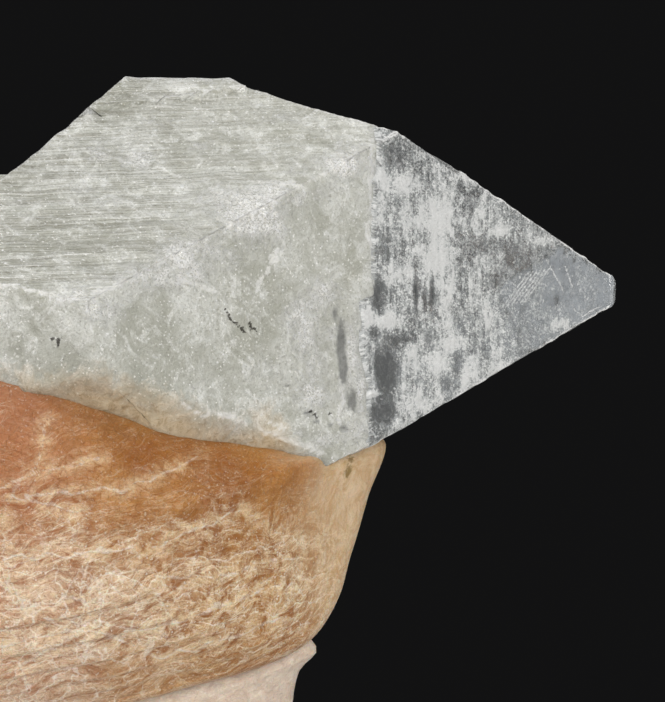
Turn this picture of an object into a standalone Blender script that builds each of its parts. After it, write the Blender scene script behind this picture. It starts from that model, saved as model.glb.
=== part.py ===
"""An apophyllite crystal grown across a sheaf of stilbite blades, about 66 mm long.

World frame: metres, +Z up, +X along the apophyllite towards its tip, and -Y on the side of the broad
pyramid face. The origin is on the flat cut that the specimen rests on, near the middle of its box.

The apophyllite is cut from a stepped prism by the planes of its crystal form: tetragonal, prism faces
parallel to the c axis and pyramid faces turned 45 degrees from them. The stilbite is a stack of curved
blades, each one a sphere drawn out to the blade's outline, with terraces that run parallel to its rim.
"""

from math import cos, pi, radians, sin

import bmesh
import bpy
import numpy as np
from mathutils import Euler, Matrix, Vector

MM = 0.001
CONTACT_GAP = 0.3  # mm between the two minerals

# Apophyllite, in mm and degrees. Its own frame has X along the c axis and its origin at the apex,
# where the four pyramid faces would meet, and azimuth 0 looks to the front.
APEX = (33.5, 10.0, 39.9)
AXIS_HEADING = 7.1
AXIS_PITCH = -0.6
AXIS_ROLL = -3.1
PYRAMID_LEAN = 1 / 1.7587  # the mineral's a/c ratio
PYRAMID_FACES = {0: 0.0, 90: 0.32, 180: 0.3, 270: 0.36}  # azimuth: how far it lies outside the apex
TIP_BLUNT = 0.8  # how far below the apex the small basal face cuts the tip
PRISM_LENGTH = 75.0
PRISM_AZIMUTHS = {"top_front": 45, "top_back": 135, "under_back": -135, "under_front": -45}
STRIA_COUNT = 11  # ledges along the upper front prism face
STRIA_DEPTH = 0.28
SEAT = ((0.0, 0.0, 27.3), (10.0, 0.0, 27.3), (0.0, 10.0, 27.3))
UPPER_LEFT_SLOPE = ((-2.15, -0.2, 54.5), (-8.7, -7.9, 48.5), (-9.0, 6.0, 46.5))
LOWER_LEFT_FRONT = ((-3.75, -17.9, 39.0), (-9.6, -17.4, 40.1), (-2.95, -17.5, 34.4))
# The crystal and two parallel growths on it. Each has its prism faces' distances from the c axis, a
# point inside it, and its irregular faces, given by three world points each, all in mm.
GROWTHS = {
    "main_crystal": {
        "distances": {"top_front": 14.43, "top_back": 4.97, "under_back": 14.0, "under_front": 21.0},
        "inside": (-8.0, 2.0, 38.0),
        "cuts": [
            ((17.0, -1.75, 50.85), (6.26, 0.5, 54.15), (11.0, 12.0, 49.0)),  # shoulder
            UPPER_LEFT_SLOPE,
            LOWER_LEFT_FRONT,
            ((-1.0, -16.1, 33.6), (9.1, -8.8, 29.8), (2.3, -12.6, 30.2)),  # skirt
            ((16.5, -3.2, 29.7), (13.4, -5.5, 28.3), (13.4, 4.5, 28.1)),  # worn lower corner
            SEAT,
        ],
    },
    "ridge_growth": {
        "distances": {"top_front": 14.83, "top_back": 5.25, "under_back": 0.0, "under_front": 0.0},
        "inside": (2.0, 3.0, 54.2),
        "cuts": [
            ((6.3, 0.2, 54.2), (4.4, 1.0, 55.15), (7.9, 10.0, 51.5)),  # end towards the tip
            ((6.3, -0.2, 54.2), (0.4, -1.9, 53.2), (4.0, 4.0, 51.0)),  # lower front ledge
            UPPER_LEFT_SLOPE,
        ],
    },
    "left_growth": {
        "distances": {"top_front": 14.1, "top_back": -4.6, "under_back": 13.4, "under_front": 19.6},
        "inside": (-18.0, -5.0, 36.0),
        "cuts": [
            ((-8.0, -7.9, 48.3), (-8.0, 4.0, 44.0), (-8.0, 0.0, 30.0)),
            ((-32.8, -14.0, 38.0), (-31.6, 10.0, 38.0), (-29.6, 0.0, 46.0)),  # broken end
            ((-32.8, -14.0, 38.0), (-31.6, 10.0, 38.0), (-30.4, 0.0, 28.0)),
            LOWER_LEFT_FRONT,
            SEAT,
        ],
    },
}

# Stilbite blades, in mm: the outline's points (x, z) and middle, how far forward the bent middle surface
# reaches and where, its bend and tilt, half the blade's thickness, and its sides and terraces.
TERRACE_STEP = 0.32
FRONT_BLADE = {
    "outline": [
        (16.3, 29.4), (14.8, 25.4), (13.9, 21.6), (13.2, 18.8), (11.6, 16.4), (9.6, 14.9), (6.5, 13.6),
        (2.0, 12.6), (-8.0, 10.6), (-20.0, 9.6), (-29.0, 13.0), (-32.4, 21.0), (-30.0, 30.0),
        (-21.0, 36.0), (-10.0, 36.0), (-4.0, 33.7), (2.0, 30.9), (8.0, 29.9), (12.5, 29.6),
    ],
    "centre": (-7.0, 22.5), "front": -12.3, "bend": 0.022, "bend_at": -9.5, "tilt": 0.0, "half": 7.2,
    "sides": 44, "terraces": (0.42, 0.58, 0.71, 0.81, 0.89),
}
LOW_BLADE = {
    "outline": [
        (11.0, 15.4), (10.2, 13.2), (9.5, 9.0), (8.6, 3.0), (7.0, -2.0), (-8.0, -3.5), (-22.0, -2.0),
        (-27.5, 5.0), (-24.0, 14.0), (-10.0, 19.0), (4.0, 19.5),
    ],
    "centre": (-8.0, 8.0), "front": -4.5, "bend": 0.012, "bend_at": -8.0, "tilt": 0.0, "half": 6.5,
    "sides": 36, "terraces": (0.6, 0.82),
}
# The blades behind them: place along Y, half thickness, middle and half width along X, top, and how far
# the top leans along X from the foot.
REAR_BLADES = [
    (-2.2, 4.6, -12.0, 19.5, 31.5, 6.0),
    (2.6, 4.2, -10.5, 18.5, 33.0, 8.0),
    (7.0, 4.4, -12.5, 18.0, 32.0, 4.0),
    (11.4, 4.2, -10.5, 16.0, 33.5, 8.0),
    (15.0, 3.4, -13.5, 12.5, 29.0, 2.0),
]
REAR_FOOT = -5.0
REAR_SIDES = 32


def new_material(name, colour, roughness, transmission, ior):
    material = bpy.data.materials.new(name)
    material.use_nodes = True
    shader = material.node_tree.nodes["Principled BSDF"]
    shader.inputs["Base Color"].default_value = (*colour, 1)
    shader.inputs["Metallic"].default_value = 0
    shader.inputs["Roughness"].default_value = roughness
    shader.inputs["Transmission Weight"].default_value = transmission
    shader.inputs["IOR"].default_value = ior
    return material


def new_object(name, bm, collection, material=None):
    """Takes a bmesh in millimetres and makes it an object in metres."""
    bmesh.ops.scale(bm, vec=(MM, MM, MM), verts=bm.verts)
    bmesh.ops.recalc_face_normals(bm, faces=bm.faces)
    mesh = bpy.data.meshes.new(name)
    bm.to_mesh(mesh)
    bm.free()
    if material:
        mesh.materials.append(material)
    obj = bpy.data.objects.new(name, mesh)
    collection.objects.link(obj)
    if collection.hide_render:
        obj.hide_render = True
        obj.display_type = "WIRE"
    return obj


def boolean(obj, operation, other):
    modifier = obj.modifiers.new(f"{operation.lower()} {other.name}", "BOOLEAN")
    modifier.operation = operation
    modifier.solver = "EXACT"
    modifier.object = other


def cut_by_plane(bm, point, normal):
    """Removes what lies on the normal's side of the plane, and closes the cut."""
    everything = list(bm.verts) + list(bm.edges) + list(bm.faces)
    cut = bmesh.ops.bisect_plane(
        bm, geom=everything, dist=1e-5, plane_co=point, plane_no=normal, clear_outer=True
    )
    rim = [item for item in cut["geom_cut"] if isinstance(item, bmesh.types.BMEdge)]
    if rim:
        bmesh.ops.holes_fill(bm, edges=rim, sides=0)


# ---------------------------------------------------------------- apophyllite


def around(azimuth):
    """The direction square to the c axis at this azimuth, in the crystal's own frame."""
    angle = radians(azimuth)
    return Vector((0, -cos(angle), sin(angle)))


def crystal_pose():
    turn = Euler((radians(AXIS_ROLL), radians(-AXIS_PITCH), radians(AXIS_HEADING)), "XYZ")
    return Matrix.Translation(APEX) @ turn.to_matrix().to_4x4()


def prism_corner(distances, first, second, grow):
    """Where two neighbouring prism faces meet, as a vector from the axis."""
    return sum(
        (around(PRISM_AZIMUTHS[face]) * (distances[face] + grow) for face in (first, second)), Vector()
    )


def prism_section(distances, grow, stepped):
    """The prism's outline, with ledges down the upper front face where it is stepped."""
    ridge = prism_corner(distances, "top_front", "top_back", grow)
    front = prism_corner(distances, "under_front", "top_front", grow)
    points = [prism_corner(distances, "top_back", "under_back", grow), ridge]
    if stepped:
        inward = -around(PRISM_AZIMUTHS["top_front"]) * STRIA_DEPTH
        for index in range(1, STRIA_COUNT):
            along = index / STRIA_COUNT + 0.03 * sin(2.4 * index)
            shift = inward * (index % 2) * (0.6 + 0.4 * sin(1.7 * index))
            before = inward * ((index - 1) % 2) * (0.6 + 0.4 * sin(1.7 * (index - 1)))
            points.append(ridge.lerp(front, along - 0.008) + before)
            points.append(ridge.lerp(front, along + 0.008) + shift)
    points += [front, prism_corner(distances, "under_back", "under_front", grow)]
    return points


def plane_through(corners, inside):
    """A plane through three world points, as (point, normal). The normal points away from inside."""
    a, b, c = (Vector(corner) for corner in corners)
    normal = (b - a).cross(c - a).normalized()
    return a, (-normal if (Vector(inside) - a).dot(normal) > 0 else normal)


def cut_crystal(growth, grow, stepped):
    """One growth as a bmesh in world millimetres, each of its faces moved out by grow."""
    bm = bmesh.new()
    points = prism_section(growth["distances"], grow, stepped)
    section = bm.faces.new([bm.verts.new(point + Vector((-PRISM_LENGTH, 0, 0))) for point in points])
    solid = bmesh.ops.extrude_face_region(bm, geom=[section])
    moved = [item for item in solid["geom"] if isinstance(item, bmesh.types.BMVert)]
    bmesh.ops.translate(bm, vec=(PRISM_LENGTH, 0, 0), verts=moved)
    bmesh.ops.recalc_face_normals(bm, faces=bm.faces)
    for azimuth, outside in PYRAMID_FACES.items():
        normal = (around(azimuth) + Vector((PYRAMID_LEAN, 0, 0))).normalized()
        cut_by_plane(bm, normal * (outside + grow), normal)
    cut_by_plane(bm, Vector((-TIP_BLUNT + grow, 0, 0)), Vector((1, 0, 0)))
    bmesh.ops.transform(bm, matrix=crystal_pose(), verts=bm.verts)
    for corners in growth["cuts"]:
        point, normal = plane_through(corners, growth["inside"])
        cut_by_plane(bm, point + normal * grow, normal)
    return bm


# ------------------------------------------------------------------- stilbite


def closed_curve(points, turns):
    """Points of a smooth closed curve through the given ones, at these shares of one turn."""
    points = np.array(points, float)
    count = len(points)
    steps = np.hypot(*(np.roll(points, -1, axis=0) - points).T)
    ends = np.concatenate([[0], np.cumsum(steps)]) / steps.sum()
    index = np.clip(np.searchsorted(ends, turns % 1, side="right") - 1, 0, count - 1)
    share = ((turns % 1 - ends[index]) / (ends[index + 1] - ends[index]))[:, None]
    p0, p1, p2, p3 = (points[(index + shift) % count] for shift in (-1, 0, 1, 2))
    return 0.5 * (
        2 * p1 + (p2 - p0) * share + (2 * p0 - 5 * p1 + 4 * p2 - p3) * share**2
        + (3 * p1 - p0 - 3 * p2 + p3) * share**3
    )


def rear_blade(place, half, middle, half_width, top, lean):
    """A blade behind the front one: a rounded, leaning oblong that fans a little from its neighbours."""
    angle = np.linspace(0, 2 * pi, 16, endpoint=False)
    height = (top - REAR_FOOT) / 2
    rise = np.sign(np.sin(angle)) * np.abs(np.sin(angle)) ** 0.7
    across = np.sign(np.cos(angle)) * np.abs(np.cos(angle)) ** 0.7
    outline = np.stack([middle + half_width * across + lean * rise / 2, REAR_FOOT + height * (1 + rise)], 1)
    return {
        "outline": outline, "centre": (middle, REAR_FOOT + height), "front": place, "bend": 0.004,
        "bend_at": middle, "tilt": (place - 5) * 0.006, "half": half, "sides": REAR_SIDES,
        "terraces": (0.62, 0.84),
    }


def ring_radii(terraces):
    """Distances from the blade's middle at which its rings lie, two of them close together at each terrace."""
    steps = [terrace + side * 0.012 for terrace in terraces for side in (-1, 1)]
    return np.array([0.0, 0.22, *steps, 0.955, 0.985, 1.0])


def blade(name, shape, grow, collection, material=None):
    """A blade: a sphere whose rings follow the outline, and whose front and back bulge from a bent middle."""
    radii = ring_radii(shape["terraces"])
    rings = 2 * (len(radii) - 1)
    bm = bmesh.new()
    bmesh.ops.create_uvsphere(bm, u_segments=shape["sides"], v_segments=rings, radius=1)
    unit = np.array([vert.co[:] for vert in bm.verts])
    level = np.rint(np.arccos(np.clip(unit[:, 2], -1, 1)) / pi * rings).astype(int)
    side = np.sign(rings / 2 - level)
    reach = radii[np.minimum(level, rings - level)]
    turns = np.arctan2(unit[:, 1], unit[:, 0]) / (2 * pi)
    centre = np.array(shape["centre"])
    rim = closed_curve(shape["outline"], turns) - centre
    rim_length = np.hypot(*rim.T)
    # Terraces step down towards the lower and right-hand rim, and fade out under the crystal.
    fade = np.clip(0.55 - 0.75 * rim[:, 1] / rim_length, 0, 1)
    steps = sum(np.where(reach > edge, TERRACE_STEP, 0.0) for edge in shape["terraces"])
    bulge = (shape["half"] - steps * fade * (reach < 0.95)) * np.sqrt(1 - reach**2.4) + grow * (reach < 1)
    rim *= 1 + (0.008 * np.sin(2 * pi * 11 * turns) + grow / rim_length)[:, None]
    place = centre + rim * reach[:, None]
    middle = shape["front"] + shape["bend"] * (place[:, 0] - shape["bend_at"]) ** 2
    middle += shape["tilt"] * (place[:, 1] - centre[1])
    for vert, (x, z), y in zip(bm.verts, place, middle - side * bulge):
        vert.co = (x, y, z)
    return new_object(name, bm, collection, material)


def main():
    for obj in list(bpy.data.objects):
        bpy.data.objects.remove(obj, do_unlink=True)
    specimen = bpy.data.collections.new("apophyllite_with_stilbite")
    construction = bpy.data.collections.new("construction")
    construction.hide_render = True
    bpy.context.scene.collection.children.link(specimen)
    bpy.context.scene.collection.children.link(construction)

    clear_white = new_material("apophyllite", (0.72, 0.73, 0.70), 0.12, 0.8, 1.535)
    peach = new_material("stilbite", (0.62, 0.36, 0.19), 0.42, 0.0, 1.5)

    main_crystal = cut_crystal(GROWTHS["main_crystal"], 0, True)
    crystal = new_object("apophyllite_crystal", main_crystal, specimen, clear_white)
    for name in ("ridge_growth", "left_growth"):
        stepped = name == "left_growth"
        boolean(crystal, "UNION", new_object(name, cut_crystal(GROWTHS[name], 0, stepped), construction))
    boolean(crystal, "DIFFERENCE", blade("front_blade_grown", FRONT_BLADE, CONTACT_GAP, construction))
    seats = [
        new_object(f"seat_of_{name}", cut_crystal(GROWTHS[name], CONTACT_GAP, False), construction)
        for name in ("main_crystal", "left_growth")
    ]

    sheaf = blade("stilbite_sheaf", LOW_BLADE, 0, specimen, peach)
    for index, sizes in enumerate(REAR_BLADES):
        boolean(sheaf, "UNION", blade(f"rear_blade_{index}", rear_blade(*sizes), 0, construction))
    for seat in seats:
        boolean(sheaf, "DIFFERENCE", seat)
    boolean(sheaf, "UNION", blade("front_blade", FRONT_BLADE, 0, construction))
    bm = bmesh.new()
    bmesh.ops.create_cube(bm, size=100)
    bmesh.ops.translate(bm, vec=(0, 0, -50), verts=bm.verts)
    boolean(sheaf, "DIFFERENCE", new_object("flat_cut", bm, construction))


main()
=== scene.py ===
"""A clear-tipped apophyllite crystal grown across a sheaf of stilbite blades, resting on a flat cut.

World frame: metres, +Z up, +X along the apophyllite towards its tip, and -Y on the side of the broad
pyramid face. Shapes are worked out in millimetres and put into their meshes in metres.
"""

from math import pi, radians, sqrt

import bpy
import numpy as np
from mathutils import Euler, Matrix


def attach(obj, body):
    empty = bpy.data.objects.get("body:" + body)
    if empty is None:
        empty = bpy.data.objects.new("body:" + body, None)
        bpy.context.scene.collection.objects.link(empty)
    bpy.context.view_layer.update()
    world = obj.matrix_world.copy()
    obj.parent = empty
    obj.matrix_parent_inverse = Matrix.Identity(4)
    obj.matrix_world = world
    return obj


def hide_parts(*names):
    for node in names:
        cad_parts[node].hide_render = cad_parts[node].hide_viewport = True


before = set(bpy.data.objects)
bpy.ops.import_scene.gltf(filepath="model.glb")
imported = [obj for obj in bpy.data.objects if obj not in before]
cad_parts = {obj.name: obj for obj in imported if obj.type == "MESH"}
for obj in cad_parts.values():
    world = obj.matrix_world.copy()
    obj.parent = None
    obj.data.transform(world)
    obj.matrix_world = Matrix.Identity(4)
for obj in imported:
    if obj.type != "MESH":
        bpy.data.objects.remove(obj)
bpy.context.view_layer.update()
MM = 0.001

# ------------------------------------------------------------------------------------------- camera
# A long lens at the height of the crystal's lower half, looking along +Y. It frames the specimen so
# closely that its left and lower ends are cut off.

CAMERA_PLACE = (0.0125, -0.390, 0.03564)
CAMERA_LENS = 287.2
CAMERA_SENSOR = 36
CAMERA_NEAR = 0.01

camera_data = bpy.data.cameras.new("camera")
camera_data.lens = CAMERA_LENS
camera_data.sensor_width = CAMERA_SENSOR
camera_data.clip_start = CAMERA_NEAR
camera = bpy.data.objects.new("camera", camera_data)
camera.location = CAMERA_PLACE
camera.rotation_euler = (pi / 2, 0, 0)
bpy.context.scene.collection.objects.link(camera)
bpy.context.scene.camera = camera

# --------------------------------------------------------------------------------- apophyllite body
# The long part of the apophyllite: a tetragonal prism, milky with fine cracks and striated along its
# length, with parallel growths along its upper left ridge and at its left end. It grew across the
# stilbite, and its left end is broken off.

# In mm and degrees. The crystal's own frame has X along the c axis and its origin at the apex, where
# the four pyramid faces would meet. Azimuth 0 looks to the front, and 90 up.
APEX = np.array([33.5, 10.0, 39.9])
AXIS_HEADING = 7.1
AXIS_PITCH = -0.6
AXIS_ROLL = -3.1
TURN = np.array(Euler((radians(AXIS_ROLL), radians(-AXIS_PITCH), radians(AXIS_HEADING)), "XYZ").to_matrix())
PYRAMID_LEAN = 1 / 1.7587  # the mineral's a/c ratio
PYRAMID_FACES = {0: 0.0, 90: 0.32, 180: 0.3, 270: 0.36}  # azimuth: how far it lies outside the apex
PRISM_AZIMUTHS = (45, 135, -135, -45)  # top front, top back, under back, under front
TIP_BLUNT = 0.8  # how far below the apex the small basal face cuts the tip
UPPER_LEFT_SLOPE = ((-2.15, -0.2, 54.5), (-8.7, -7.9, 48.5), (-9.0, 6.0, 46.5))
LOWER_LEFT_FRONT = ((-3.75, -17.9, 39.0), (-9.6, -17.4, 40.1), (-2.95, -17.5, 34.4))
SEAT = ((0.0, 0.0, 27.3), (10.0, 0.0, 27.3), (0.0, 10.0, 27.3))  # the level underside
# Each growth's prism distances from the c axis, a point inside it, and its irregular faces, which are
# given by three world points each.
GROWTHS = (
    ((14.43, 4.97, 14.0, 21.0), (-8.0, 2.0, 38.0), (
        ((17.0, -1.75, 50.85), (6.26, 0.5, 54.15), (11.0, 12.0, 49.0)),
        UPPER_LEFT_SLOPE,
        LOWER_LEFT_FRONT,
        ((-1.0, -16.1, 33.6), (9.1, -8.8, 29.8), (2.3, -12.6, 30.2)),
        ((16.5, -3.2, 29.7), (13.4, -5.5, 28.3), (13.4, 4.5, 28.1)),
        SEAT,
    )),
    ((14.83, 5.25, 0.0, 0.0), (2.0, 3.0, 54.2), (
        ((6.3, 0.2, 54.2), (4.4, 1.0, 55.15), (7.9, 10.0, 51.5)),
        ((6.3, -0.2, 54.2), (0.4, -1.9, 53.2), (4.0, 4.0, 51.0)),
        UPPER_LEFT_SLOPE,
    )),
    ((14.1, -4.6, 13.4, 19.6), (-18.0, -5.0, 36.0), (
        ((-8.0, -7.9, 48.3), (-8.0, 4.0, 44.0), (-8.0, 0.0, 30.0)),
        LOWER_LEFT_FRONT,
        SEAT,
    )),
)
BROKEN_END = (
    ((-32.8, -14.0, 38.0), (-31.6, 10.0, 38.0), (-29.6, 0.0, 46.0)),
    ((-32.8, -14.0, 38.0), (-31.6, 10.0, 38.0), (-30.4, 0.0, 28.0)),
)
INSIDE_END = (-18.0, -5.0, 36.0)
STRIATED, PYRAMID, OTHER = 1, 2, 0  # kinds of face
PARTING = -19.6  # along c: where the milky body parts from the clear tip on a cleavage plane
# Steps in that plane: heights, and how far it shifts along c there.
PARTING_STEPS = ((-30.0, -7.0, -5.0, -4.2, -1.7, -1.2, 6.6, 7.2, 30.0),
                 (-0.35, -0.35, -0.9, -0.9, -0.9, 0.0, 0.0, 0.35, 0.35))
STRIA_SLANT = 0.083  # the striations run this far across for each mm along
EDGE_FADE = 0.4  # mm: how fast nearness to an edge falls off
FAR = 9.0  # mm: stands for no edge near


def around(azimuth):
    """Unit vectors square to the c axis in the crystal's frame, from azimuths in radians."""
    return np.stack([np.zeros_like(azimuth), -np.cos(azimuth), np.sin(azimuth)], -1)


def plane_through(corners, inside):
    """A plane in the crystal's frame from three world points: its outward normal, then its distance."""
    a, b, c = (np.array(corner) for corner in corners)
    normal = np.cross(b - a, c - a)
    normal *= -np.sign((np.array(inside) - a) @ normal) / np.linalg.norm(normal)
    return (*(normal @ TURN), normal @ (a - APEX), OTHER)


def planes_of(distances, inside, cuts):
    """All planes of one growth as rows: outward normal, distance from the apex, and kind of face."""
    planes = [
        (*around(np.array(radians(azimuth))), distance, STRIATED if azimuth == 45 else OTHER)
        for azimuth, distance in zip(PRISM_AZIMUTHS, distances)
    ]
    for azimuth, outside in PYRAMID_FACES.items():
        normal = around(np.array(radians(azimuth))) + [PYRAMID_LEAN, 0, 0]
        planes.append((*(normal / np.linalg.norm(normal)), outside, PYRAMID))
    planes.append((1, 0, 0, -TIP_BLUNT, OTHER))
    return np.array(planes + [plane_through(corners, inside) for corners in cuts])


GROWTH_PLANES = [planes_of(*growth) for growth in GROWTHS]
END_PLANES = np.array([plane_through(corners, INSIDE_END) for corners in BROKEN_END])


def reach(x, azimuth, middle):
    """How far from a line along the c axis the crystal's surface lies, at x along it and an azimuth.

    A growth is the inside of its planes, so a ray from the line leaves it at the nearest plane ahead,
    and the surface is the furthest of the growths. The result is that distance, the kind of face there,
    and how near an edge is: 1 on it, fading as the next plane lies further along the ray.
    """
    out = around(azimuth)
    best = np.zeros_like(x)
    kind = np.zeros_like(x)
    gap = np.full_like(x, FAR)
    for planes in GROWTH_PLANES:
        room = planes[:, 3, None, None] - planes[:, 0, None, None] * x
        room = room - (planes[:, 1:3] @ middle)[:, None, None]
        toward = (planes[:, 1, None] * out[:, 1] + planes[:, 2, None] * out[:, 2])[:, None, :]
        toward = np.where(np.abs(toward) < 1e-9, 1e-9, toward)
        ahead = np.where(toward > 0, room / toward, np.inf)
        enter = np.where(toward < 0, room / toward, -np.inf).max(axis=0)
        order = np.argsort(ahead, axis=0)[:2]
        leave, second = np.take_along_axis(ahead, order, axis=0)
        wins = (enter < leave) & (leave > best)
        best = np.where(wins, leave, best)
        kind = np.where(wins, planes[order[0], 4], kind)
        gap = np.where(wins, second - leave, gap)
    return best, kind, np.exp(-gap / EDGE_FADE)


def in_world(lattice):
    """World points in mm from points in the crystal's frame."""
    return APEX + lattice @ TURN.T


def parting(height):
    """Where the cleavage between the milky body and the clear tip lies: a plane with low steps in it."""
    return PARTING + np.interp(height, *PARTING_STEPS)


def ripple(points, size, seed, waves=10):
    """Smooth uneven heights of about 1: a sum of sine waves in random directions, near size long."""
    rng = np.random.default_rng(seed)
    directions = rng.normal(size=(points.shape[-1], waves))
    directions *= rng.uniform(0.7, 1.5, waves) * 2 * pi / size / np.linalg.norm(directions, axis=0)
    return np.sin(points @ directions + rng.uniform(0, 2 * pi, waves)).sum(axis=-1) / sqrt(waves / 2)


def ledges(across, size, seed):
    """Uneven ledges about size wide, from 0 to 1: a triangle wave whose spacing wanders."""
    phase = (across / size + 0.4 * ripple(across[..., None], 3 * size, seed)) % 1
    return np.abs(2 * phase - 1)


DENSE_ROWS = 1250
LONGEST_STRIDE = 0.4  # mm: a longer stretch of the profile counts as this
BEND_LENGTH, MOST_BEND = 0.9, 0.8  # mm that a bend of one radian counts as, and the most radians counted


def rows_by_detail(x, radius, allowed, count):
    """Places for count rows down each column: evenly by length, but closer where the profile bends."""
    length = np.hypot(np.diff(x, axis=0), np.diff(radius, axis=0))
    heading = np.arctan2(np.diff(radius, axis=0), -np.diff(x, axis=0))
    bend = np.abs(np.diff(heading, axis=0, prepend=heading[:1]))
    weight = np.minimum(length, LONGEST_STRIDE) + BEND_LENGTH * np.minimum(bend, MOST_BEND)
    weight = weight * (allowed[1:] & allowed[:-1]) + 1e-9
    total = np.concatenate([np.zeros((1, x.shape[1])), np.cumsum(weight, axis=0)])
    first = np.argmax(allowed, axis=0)
    last = len(x) - 1 - np.argmax(allowed[::-1], axis=0)
    share = np.linspace(0, 1, count)
    columns = zip(total.T, x.T, first, last)
    return np.stack([np.interp(t[a] + share * (t[b] - t[a]), t, down) for t, down, a, b in columns], -1)


def side_rings(azimuth, middle, start, stop, count, allow):
    """Rings of the crystal's side between two places on the c axis.

    Each column starts as many places along c, of which rows_by_detail keeps count where allow lets them
    be, and a point lies at its reach from the middle line. With the rings come the kind of face at each
    point and how near it is to an edge.
    """
    out = around(azimuth)
    dense = np.linspace(start, stop, DENSE_ROWS)[:, None] + np.zeros(len(azimuth))
    radius = reach(dense, azimuth, middle)[0]
    place = np.stack([dense, middle[0] + out[:, 1] * radius, middle[1] + out[:, 2] * radius], -1)
    x = rows_by_detail(dense, radius, allow(place) & (radius > 0), count)
    radius, kind, edge = reach(x, azimuth, middle)
    return np.stack([x, middle[0] + out[:, 1] * radius, middle[1] + out[:, 2] * radius], -1), kind, edge


def unit_normals(points):
    """Outward unit normals of a grid of rings, from its rows and its closed columns."""
    down = np.gradient(points, axis=0)
    along = np.roll(points, -1, axis=1) - np.roll(points, 1, axis=1)
    normal = np.cross(down, along)
    return normal / np.maximum(np.linalg.norm(normal, axis=-1, keepdims=True), 1e-12)


SHARP_ANGLE = 32  # degrees: edges sharper than this stay crisp


def shell(name, rings, ends, fields, material, first_open=False):
    """A closed surface in mm: rings of points joined by quads, with a fan of triangles to each end point.

    fields are values or vectors on the rings' points, which the materials read. first_open leaves the
    first ring without its fan.
    """
    rows, columns = rings.shape[:2]
    points = np.concatenate([rings.reshape(-1, 3), np.reshape(ends, (2, 3))])
    here = np.arange(rows * columns).reshape(rows, columns)
    right = np.roll(here, -1, axis=1)
    quads = np.stack([here[:-1], here[1:], right[1:], right[:-1]], -1).reshape(-1, 4)
    first, last = (np.full(columns, rows * columns + pole) for pole in (0, 1))
    fans = np.stack([last, right[-1], here[-1]], -1)
    if not first_open:
        fans = np.concatenate([np.stack([first, here[0], right[0]], -1), fans])
    mesh = bpy.data.meshes.new(name)
    mesh.vertices.add(len(points))
    mesh.vertices.foreach_set("co", (points * MM).astype(np.float32).ravel())
    mesh.loops.add(quads.size + fans.size)
    mesh.loops.foreach_set("vertex_index", np.concatenate([quads.ravel(), fans.ravel()]).astype(np.int32))
    starts = np.concatenate([np.arange(len(quads)) * 4, quads.size + np.arange(len(fans)) * 3])
    mesh.polygons.add(len(starts))
    mesh.polygons.foreach_set("loop_start", starts.astype(np.int32))
    mesh.update(calc_edges=True)
    for field, values in fields.items():
        vector = values.ndim == 3
        layer = mesh.attributes.new(field, "FLOAT_VECTOR" if vector else "FLOAT", "POINT")
        poles = np.stack([values[0].mean(axis=0), values[-1].mean(axis=0)])
        flat = np.concatenate([values.reshape(-1, 3), poles]) if vector else np.append(values, poles)
        layer.data.foreach_set("vector" if vector else "value", flat.astype(np.float32).ravel())
    mesh.shade_smooth()
    mesh.set_sharp_from_angle(angle=radians(SHARP_ANGLE))
    mesh.materials.append(material)
    obj = bpy.data.objects.new(name, mesh)
    bpy.context.scene.collection.objects.link(obj)
    return obj


# Materials are built with these few lines, in mm where a pattern has a size.


def joined(operation, other_first=False):
    """The method that joins a value with another one, or with a number, in a Math node."""

    def join(self, other):
        first, second = (other, self) if other_first else (self, other)
        return add(self.tree, "Math", settings={"operation": operation}, i0=first, i1=second)

    return join


class Value:
    """What a node puts out. Values are joined by + - * and / with each other and with numbers."""

    def __init__(self, socket):
        self.socket = socket
        self.tree = socket.id_data

    __add__, __radd__ = joined("ADD"), joined("ADD", True)
    __sub__, __rsub__ = joined("SUBTRACT"), joined("SUBTRACT", True)
    __mul__ = joined("MULTIPLY")
    __truediv__, __rtruediv__ = joined("DIVIDE"), joined("DIVIDE", True)


def fill(socket, value):
    """Feeds a socket with a value, or sets it to a number or a colour."""
    if isinstance(value, Value):
        value.tree.links.new(value.socket, socket)
    else:
        socket.default_value = value


def add(tree, kind, out=0, settings=None, **inputs):
    """One node: the value that it puts out. An input is named as in Blender, or by its place as i0, i1."""
    node = tree.nodes.new("ShaderNode" + kind)
    for name, value in (settings or {}).items():
        setattr(node, name, value)
    for name, value in inputs.items():
        fill(node.inputs[int(name[1:]) if name[1:].isdigit() else name.replace("_", " ")], value)
    return Value(node.outputs[out])


def parts_of(vector):
    """The three coordinates of a vector."""
    first = add(vector.tree, "SeparateXYZ", Vector=vector)
    return [Value(socket) for socket in first.socket.node.outputs]


def scaled(vector, factor):
    return add(vector.tree, "VectorMath", settings={"operation": "SCALE"}, Vector=vector, Scale=factor)


def moved(vector, shift):
    return add(vector.tree, "VectorMath", settings={"operation": "ADD"}, i0=vector, i1=shift)


def noise(vector, scale, detail, roughness, distortion=0.0, out="Fac"):
    return add(vector.tree, "TexNoise", out, Vector=vector, Scale=scale, Detail=detail,
               Roughness=roughness, Distortion=distortion)


def ramp(value, low, high, to_low=0.0, to_high=1.0):
    """A value moved from one range to another and kept inside it."""
    return add(value.tree, "MapRange", Value=value, i1=low, i2=high, i3=to_low, i4=to_high)


def greater(first, second):
    return add(first.tree, "Math", settings={"operation": "MAXIMUM"}, i0=first, i1=second)


def blend(share, first, second):
    """Two colours mixed by a share from 0 to 1."""
    first, second = (colour if isinstance(colour, Value) else (*colour, 1) for colour in (first, second))
    return add(share.tree, "Mix", 2, {"data_type": "RGBA"}, i0=share, i6=first, i7=second)


def layered(colour, *layers):
    """A colour with others laid over it in turn, each with its share from 0 to 1."""
    for share, over in layers:
        colour = blend(share, colour, over)
    return colour


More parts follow.
